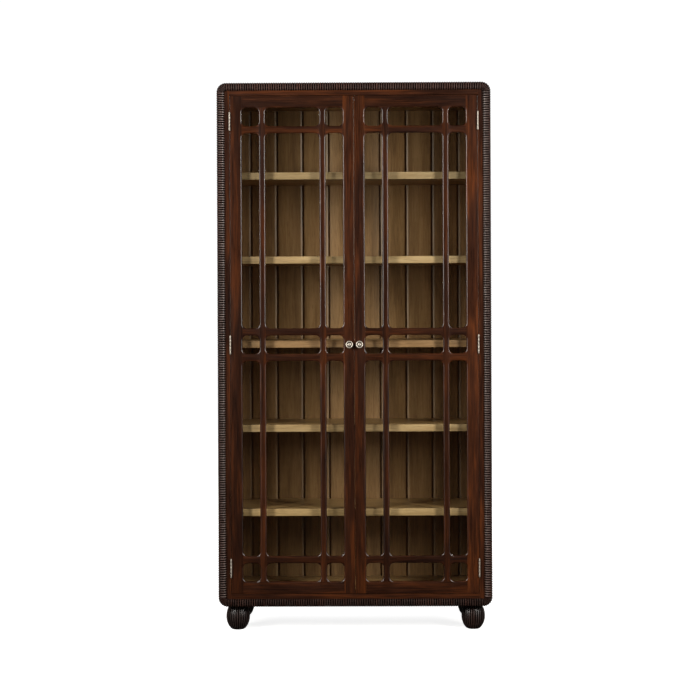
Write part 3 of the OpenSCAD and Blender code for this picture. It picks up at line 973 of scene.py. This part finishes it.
def level_bar_shapes():
    """Level bars that the cutter turns into bars with ends that spread round the glass."""
    flare = OPENING_R + BEVEL + MM
    shapes = []
    for distance, width in COLUMNS:
        for row, _ in ROWS[1:]:
            shapes.append(box_shape(
                (-distance - width + HAIR, FACE_Y, row - LEVEL_H - flare),
                (-distance - HAIR, GLASS_Y, row + flare)))
    return shapes


def left_door_wood():
    """The left door's wooden pieces, still without their materials, by CAD node."""
    openings = opening_cutter()
    slab = door_slab()
    rebate = new_object("rebate", *box_shape(
        (-GLAZED_OUT - REBATE, GLASS_Y, BARS_LOW.z - REBATE),
        (-MEETING_W + REBATE, DOOR_BACK + 5 * MM, BARS_HIGH.z + REBATE)))
    low, high = STILE_LOW.z, STILE_HIGH.z
    made = {
        "hinge_stile": new_object("s1", *box_shape(
            (STILE_LOW.x, FACE_Y, low), (STILE_HIGH.x, DOOR_BACK, high))),
        "meeting_stile": new_object("s2", *box_shape(
            (MEETING_LOW.x, FACE_Y, low), (MEETING_HIGH.x, DOOR_BACK, high))),
        "bottom_rail": union_object("r1", rail_shape(low, BARS_LOW.z, True)),
        "top_rail": union_object("r2", rail_shape(BARS_HIGH.z, high, False)),
        "upright_bars": new_object("u", *merge(*upright_bar_shapes())),
        "level_bars": new_object("l", *merge(*level_bar_shapes())),
    }
    for name, piece in made.items():
        boolean(piece, slab, "INTERSECT")
        boolean(piece, openings, "DIFFERENCE")
        if name not in ("upright_bars", "level_bars"):
            boolean(piece, rebate, "DIFFERENCE")
        shade(piece.data, 30)
    for cutter in (openings, slab, rebate):
        discard(cutter)
    return made


def make_doors():
    """The left door's pieces, each with a mirrored copy for the right door."""
    made = left_door_wood()
    grain = {"hinge_stile": mahogany_upright, "meeting_stile": mahogany_upright,
             "upright_bars": mahogany_upright, "bottom_rail": mahogany_level,
             "top_rail": mahogany_level, "level_bars": mahogany_level}
    for name, piece in made.items():
        piece.name = "left_" + name
        right = flip_copy(piece, "right_" + name)
        hinged = name == "hinge_stile"
        dress(piece, "left_door", "mahogany", "left_door_" + name,
              materials=[mahogany_brown if hinged else grain[name]])
        dress(right, "right_door", "mahogany", "right_door_" + name,
              materials=[mahogany_red if hinged else grain[name]])


def bead_loops(low, high):
    """Rectangular loops round the glass that make up a bead with a round back."""
    depth = high.y - low.y
    inner = [low.x + REBATE, high.x - REBATE, low.z + REBATE, high.z - REBATE]
    outer = [low.x, high.x, low.z, high.z]
    section = [(0.0, 0.0), (1.0, 0.0), (1.0, 1.0)]
    for i in range(1, 6):
        a = PI / 2 * i / 5
        section.append((1 - math.sin(a) * 0.9, 1.0 - (1 - math.cos(a)) * 0.75))
    loops = []
    for across, back in section:
        x0, x1, z0, z1 = [i + (o - i) * across for i, o in zip(inner, outer)]
        y = low.y + depth * back
        loops.append([(x0, y, z0), (x1, y, z0), (x1, y, z1), (x0, y, z1)])
    loops.append(loops[0])
    return loops


def join_doubles(piece):
    bm = bmesh.new()
    bm.from_mesh(piece.data)
    bmesh.ops.remove_doubles(bm, verts=bm.verts, dist=1e-6)
    bm.to_mesh(piece.data)
    bm.free()


def make_glazing():
    """Glass, and the quarter-round beads that hold it from behind."""
    for side in ("left", "right"):
        low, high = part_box(side + "_door_glass")
        pane = new_object(side + "_pane", *eased_box(low, high, 0.4 * MM, 1))
        dress(pane, side + "_door", "glass", side + "_door_glass", materials=[glass])
        loops = bead_loops(*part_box(side + "_door_glazing_beads"))
        beads = new_object(side + "_beads", *loft(loops, closed_ends=False), 30)
        join_doubles(beads)
        dress(beads, side + "_door", "mahogany", side + "_door_glazing_beads",
              materials=[mahogany_upright])


def knob_shape():
    """A turned knob, its axis along +Z out of the door: rosette, neck, dished face, button."""
    r = (KNOB_HIGH.x - KNOB_LOW.x) / 2
    out = FACE_Y - KNOB_LOW.y
    profile = [(2.5 * MM, -16 * MM), (2.5 * MM, 0), (0.62 * r, 0.0), (0.66 * r, 0.02 * out),
               (0.66 * r, 0.055 * out), (0.61 * r, 0.075 * out), (0.55 * r, 0.085 * out)]
    for i in range(13):
        t = i / 12
        profile.append(((0.53 - 0.17 * math.sin(PI * t) + 0.04 * t) * r, (0.1 + 0.4 * t) * out))
    for i in range(15):
        a = -PI / 2 + PI * i / 14
        profile.append(((0.80 + 0.20 * math.cos(a)) * r, (0.71 + 0.17 * math.sin(a)) * out))
    profile += [(0.76 * r, 0.872 * out), (0.72 * r, 0.86 * out), (0.66 * r, 0.83 * out),
                (0.56 * r, 0.812 * out), (0.47 * r, 0.81 * out), (0.44 * r, 0.83 * out),
                (0.42 * r, 0.90 * out), (0.38 * r, 0.955 * out), (0.28 * r, 0.99 * out),
                (0.14 * r, 1.0 * out), (0.02 * r, 1.0 * out)]
    return lathe(profile, 56)


def paint_dish(piece, centre_x):
    """Darkens the dish round the knob's button: a painted dark reflection."""
    r = (KNOB_HIGH.x - KNOB_LOW.x) / 2
    paint_faces(piece, 1, lambda place, normal: (
        0.42 * r < math.hypot(place.x - centre_x, place.z - MIDDLE_Z) < 0.70 * r
        and normal.y < -0.2 and place.y < (FACE_Y + KNOB_LOW.y) / 2))


def make_knobs():
    x = (KNOB_LOW.x + KNOB_HIGH.x) / 2
    turn = Quaternion((1, 0, 0), PI / 2)
    for side, sign in (("left", 1), ("right", -1)):
        shape = moved(knob_shape(), (x * sign, FACE_Y, MIDDLE_Z), turn)
        piece = new_object(side + "_knob", *shape, 28)
        dress(piece, side + "_door", "nickel", side + "_door_knob",
              materials=[knob_nickel, dish_painted_reflection])
        paint_dish(piece, x * sign)


make_doors()
make_glazing()
make_knobs()


# ---- Hinges --------

PIN_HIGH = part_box("hinge_pins")[1]
LEAF_LOW, LEAF_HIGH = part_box("left_door_hinge_leaves")
KNUCKLE_R = (LEAF_HIGH.x - LEAF_LOW.x) / 2
PIN_X = (LEAF_HIGH.x + LEAF_LOW.x) / 2
PIN_Y = LEAF_LOW.y + KNUCKLE_R
HINGE_H = 70 * MM
HINGE_ZS = [LEAF_LOW.z + HINGE_H / 2, MIDDLE_Z, LEAF_HIGH.z - HINGE_H / 2]
KNUCKLES = 5
LEAF_T = 1.2 * MM
LEAF_GAP = 0.75 * MM
PIN_R = 1.25 * MM
PIN_BORE = 1.3 * MM


def leaf_shapes(z, odd, way):
    """One leaf with its knuckles; way is 1 for the door's leaf, -1 for the frame's."""
    step = HINGE_H / KNUCKLES
    low = z - HINGE_H / 2
    x0, x1 = PIN_X + way * LEAF_GAP, PIN_X + way * (LEAF_GAP + LEAF_T)
    x0, x1 = min(x0, x1), max(x0, x1)
    shapes = [eased_box((x0, FACE_Y, low), (x1, LEAF_HIGH.y, low + HINGE_H), 0.2 * MM, 1)]
    for i in range(KNUCKLES):
        if i % 2 != odd:
            continue
        z0, z1 = low + i * step + 0.1 * MM, low + (i + 1) * step - 0.1 * MM
        r, c = KNUCKLE_R, 0.25 * MM
        profile = [(PIN_BORE, z0), (r - c, z0), (r - c / 3, z0 + c / 3), (r, z0 + c),
                   (r, z1 - c), (r - c / 3, z1 - c / 3), (r - c, z1), (PIN_BORE, z1)]
        shapes.append(moved(lathe(profile, 32), (PIN_X, PIN_Y, 0)))
        shapes.append(box_shape((x0, PIN_Y + 1.6 * MM, z0), (x1, FACE_Y + MM, z1)))
    return shapes


def screw_shapes(z, way):
    """Three countersunk screws in a leaf, each with a slot across its head."""
    shapes = []
    face = PIN_X + way * LEAF_GAP
    y = FACE_Y + 10 * MM
    turn = Quaternion((0, 1, 0), way * PI / 2)
    for i, dz in enumerate((-24 * MM, 0, 24 * MM)):
        head = [(0.2 * MM, 0.35 * MM), (0.45 * MM, 0.05 * MM), (3.1 * MM, 0.0),
                (3.3 * MM, 0.1 * MM), (1.8 * MM, 1.3 * MM), (1.8 * MM, 13 * MM),
                (0.3 * MM, 16 * MM)]
        shapes.append(moved(lathe(head, 24), (face, y, z + dz), turn))
        slant = Quaternion((1, 0, 0), 0.5 + 0.9 * i)
        slot = box_shape((-0.03 * MM, -2.8 * MM, -0.35 * MM), (0.02 * MM, 2.8 * MM, 0.35 * MM))
        shapes.append(moved(slot, (face - way * 0.02 * MM, y, z + dz), slant))
    return shapes


def pin_shape(z):
    """A hinge pin with a small domed head at each end."""
    half = HINGE_H / 2
    cap = PIN_HIGH.z - HINGE_ZS[2] - half
    r = PIN_R
    head = KNUCKLE_R - MM
    profile = [(0.2 * head, z - half - cap), (0.62 * head, z - half - cap * 0.85),
               (0.92 * head, z - half - cap * 0.5), (head, z - half), (r, z - half),
               (r, z + half), (head, z + half), (0.92 * head, z + half + cap * 0.5),
               (0.62 * head, z + half + cap * 0.85), (0.2 * head, z + half + cap)]
    return moved(lathe(profile, 24), (PIN_X, PIN_Y, 0))


def make_hinges():
    """Three butt hinges to a door: leaves, screws and pins, one object for each CAD node."""
    frame_leaves, frame_screws, pins = [], [], []
    door_leaves, door_screws = [], []
    for z in HINGE_ZS:
        frame_leaves += leaf_shapes(z, 0, -1)
        frame_screws += screw_shapes(z, -1)
        door_leaves += leaf_shapes(z, 1, 1)
        door_screws += screw_shapes(z, 1)
        pins.append(pin_shape(z))
    both = {"frame_hinge_leaves": frame_leaves, "frame_hinge_screws": frame_screws,
            "hinge_pins": pins}
    for node, shapes in both.items():
        shapes = shapes + [mirrored(shape) for shape in shapes]
        piece = new_object(node + "_look", *merge(*shapes), 30)
        dress(piece, "cabinet", "nickel", node, materials=[hinge_nickel])
    for side in ("left", "right"):
        for part, shapes in (("leaves", door_leaves), ("screws", door_screws)):
            if side == "right":
                shapes = [mirrored(shape) for shape in shapes]
            node = f"{side}_door_hinge_{part}"
            piece = new_object(node + "_look", *merge(*shapes), 30)
            dress(piece, side + "_door", "nickel", node, materials=[hinge_nickel])


make_hinges()


# ---- What stays as the CAD has it --------

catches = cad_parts["door_catches"]
catches.data.materials.clear()
catches.data.materials.append(nickel)


# ---- Floor, lights and camera --------


def make_floor():
    """A pale floor that only the camera sees, with a glow that grows away from the object."""
    size = 60.0
    verts = [(-size, -size, 0), (size, -size, 0), (size, size, 0), (-size, size, 0)]
    floor = new_object("floor", verts, [(0, 1, 2, 3)])
    s = Shader("pale_floor")
    place = s.node("TexCoord").outputs["Object"]
    cloud = s.noise(place, 1.3, 2.0)
    s.set(colour=s.ramp(cloud, [(0.3, (0.86, 0.86, 0.86)), (0.7, (0.9, 0.9, 0.9))]),
          roughness=0.7)
    middle = s.node("VectorMath", {0: place}, operation="LENGTH").outputs["Value"]
    glow = s.span(middle, 0.6, 3.5, 0.82, 1.1)
    s.principled.inputs["Emission Color"].default_value = (1, 1, 1, 1)
    s.feed(s.principled.inputs["Emission Strength"], glow)
    floor.data.materials.append(s.material)
    floor.visible_glossy = False
    floor.visible_diffuse = False


WARM = (1.0, 0.965, 0.92)
BOX_X, BOX_Y = 2.55, -2.5
BOX_WIDTH = 0.7


def make_light(name, place, target, size, power, colour=(1, 1, 1)):
    data = bpy.data.lights.new(name, "AREA")
    data.shape = "RECTANGLE"
    data.size, data.size_y = size
    data.energy = power
    data.color = colour
    light = bpy.data.objects.new(name, data)
    light.location = place
    aim = Vector(target) - Vector(place)
    light.rotation_euler = aim.to_track_quat("-Z", "Y").to_euler()
    light.visible_camera = False
    bpy.context.scene.collection.objects.link(light)


def make_lights():
    """A tall and a low softbox on each side in front, and a large weak one behind."""
    target = (0, 0, 1.0)
    for kind, height, tall, power in (("box", 2.15, 1.9, 116), ("low_box", 0.6, 0.9, 5)):
        for side, way in (("left", -1), ("right", 1)):
            make_light(f"{side}_{kind}", (way * BOX_X, BOX_Y, height), target,
                       (BOX_WIDTH, tall), power, WARM)
    make_light("back_fill", (0, 4.5, 3.2), target, (5.0, 3.4), 90)


ROOM_COLOUR = (1.0, 0.95, 0.88, 1)
ROOM_STRENGTH = 0.03


def make_world():
    """White to the camera, a dim warm room to everything else."""
    world = bpy.data.worlds.new("studio")
    bpy.context.scene.world = world
    world.use_nodes = True
    tree = world.node_tree
    room = tree.nodes["Background"]
    room.inputs["Color"].default_value = ROOM_COLOUR
    room.inputs["Strength"].default_value = ROOM_STRENGTH
    backdrop = tree.nodes.new("ShaderNodeBackground")
    backdrop.inputs["Color"].default_value = (1, 1, 1, 1)
    backdrop.inputs["Strength"].default_value = 1.05
    path = tree.nodes.new("ShaderNodeLightPath")
    mix = tree.nodes.new("ShaderNodeMixShader")
    tree.links.new(path.outputs["Is Camera Ray"], mix.inputs[0])
    tree.links.new(room.outputs[0], mix.inputs[1])
    tree.links.new(backdrop.outputs[0], mix.inputs[2])
    tree.links.new(mix.outputs[0], tree.nodes["World Output"].inputs["Surface"])


CAMERA_X = 0.0391
CAMERA_DISTANCE = 6.586
CAMERA_HEIGHT = 1.2598
LENS = 88.457
SHIFT_Y = -0.0683
# Turned to the left and rolled, in degrees
CAMERA_YAW = 0.482
CAMERA_ROLL = -0.236


def make_camera():
    """A level camera, a little to the right of the middle and turned a little to the left."""
    data = bpy.data.cameras.new("camera")
    data.sensor_fit = "HORIZONTAL"
    data.sensor_width = 36.0
    data.lens = LENS
    data.shift_y = SHIFT_Y
    data.clip_start, data.clip_end = 0.1, 200.0
    camera = bpy.data.objects.new("camera", data)
    camera.location = (CAMERA_X, FACE_Y - CAMERA_DISTANCE, CAMERA_HEIGHT)
    camera.rotation_mode = "QUATERNION"
    camera.rotation_quaternion = (
        Quaternion((0, 0, 1), math.radians(CAMERA_YAW))
        @ Quaternion((1, 0, 0), PI / 2)
        @ Quaternion((0, 0, 1), math.radians(CAMERA_ROLL))
    )
    bpy.context.scene.collection.objects.link(camera)
    bpy.context.scene.camera = camera


make_floor()
make_lights()
make_world()
make_camera()
bpy.context.scene.view_settings.view_transform = "Standard"
